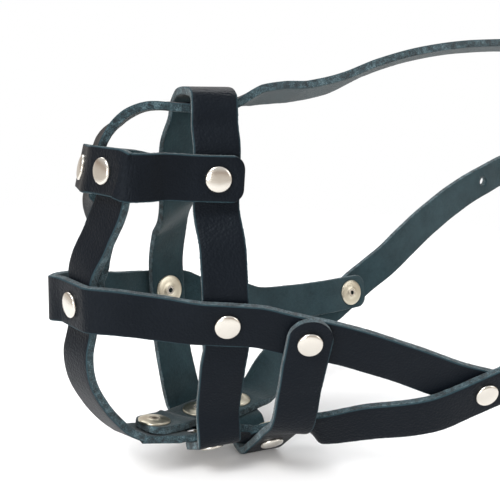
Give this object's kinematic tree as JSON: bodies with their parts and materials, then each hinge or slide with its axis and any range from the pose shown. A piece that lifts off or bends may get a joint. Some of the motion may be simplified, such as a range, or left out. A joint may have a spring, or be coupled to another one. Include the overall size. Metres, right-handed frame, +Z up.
{
  "type": "dog basket muzzle",
  "caption": "Open leather basket muzzle of riveted flat straps, with a forehead strap and a buckled neck strap.",
  "frame": {"origin": "middle of the upright loop round the snout, inside the basket", "axes": "+X from the nose to the nape, +Y to the side that the buckle is on, +Z up"},
  "size_m": [0.3482, 0.1296, 0.1657],
  "materials": {
    "black_leather": "waxed grain side, rough flesh side",
    "nickel": "polished nickel plate"
  },
  "bodies": {
    "basket": {"band_front_far_back": "nickel", "band_front_far_cap": "nickel", "band_front_near_back": "nickel", "band_front_near_cap": "nickel", "band_side_far_back": "nickel", "band_side_far_cap": "nickel", "band_side_near_back": "nickel", "band_side_near_cap": "nickel", "buckle_fold_back": "nickel", "buckle_fold_cap": "nickel", "buckle_strap": "black_leather", "cheek_far_back": "nickel", "cheek_far_cap": "nickel", "cheek_near_back": "nickel", "cheek_near_cap": "nickel", "chin_bottom_far_back": "nickel", "chin_bottom_far_cap": "nickel", "chin_bottom_near_back": "nickel", "chin_bottom_near_cap": "nickel", "chin_front_back": "nickel", "chin_front_cap": "nickel", "chin_strap": "black_leather", "chin_top_far_back": "nickel", "chin_top_far_cap": "nickel", "chin_top_near_back": "nickel", "chin_top_near_cap": "nickel", "forehead_strap": "black_leather", "loop_bottom_far_back": "nickel", "loop_bottom_far_cap": "nickel", "loop_bottom_near_back": "nickel", "loop_bottom_near_cap": "nickel", "nape_back": "nickel", "nape_cap": "nickel", "nose_band": "black_leather", "ring_front_back": "nickel", "ring_front_cap": "nickel", "ring_side_far_back": "nickel", "ring_side_far_cap": "nickel", "ring_side_near_back": "nickel", "ring_side_near_cap": "nickel", "side_ring": "black_leather", "snout_loop": "black_leather", "tongue_strap": "black_leather"},
    "frame": {"buckle_frame": "nickel"},
    "prong": {"buckle_prong": "nickel"},
    "keeper": {"keeper": "black_leather"}
  },
  "joints": [
    {"name": "frame_hinge", "type": "hinge", "parent": "basket", "child": "frame", "pos_m": [0.22887, 0.04996, 0.0274], "axis": [0.2883, 0.0801, -0.9542], "range_deg": [0, 2.5]},
    {"name": "prong_hinge", "type": "hinge", "parent": "frame", "child": "prong", "pos_m": [0.22887, 0.04996, 0.0274], "axis": [0.2883, 0.0801, -0.9542], "range_deg": [0, 2]},
    {"name": "keeper_slide", "type": "slide", "parent": "basket", "child": "keeper", "axis": [0.8948, -0.3774, 0.2386], "range_m": [0, 0.008]}
  ]
}
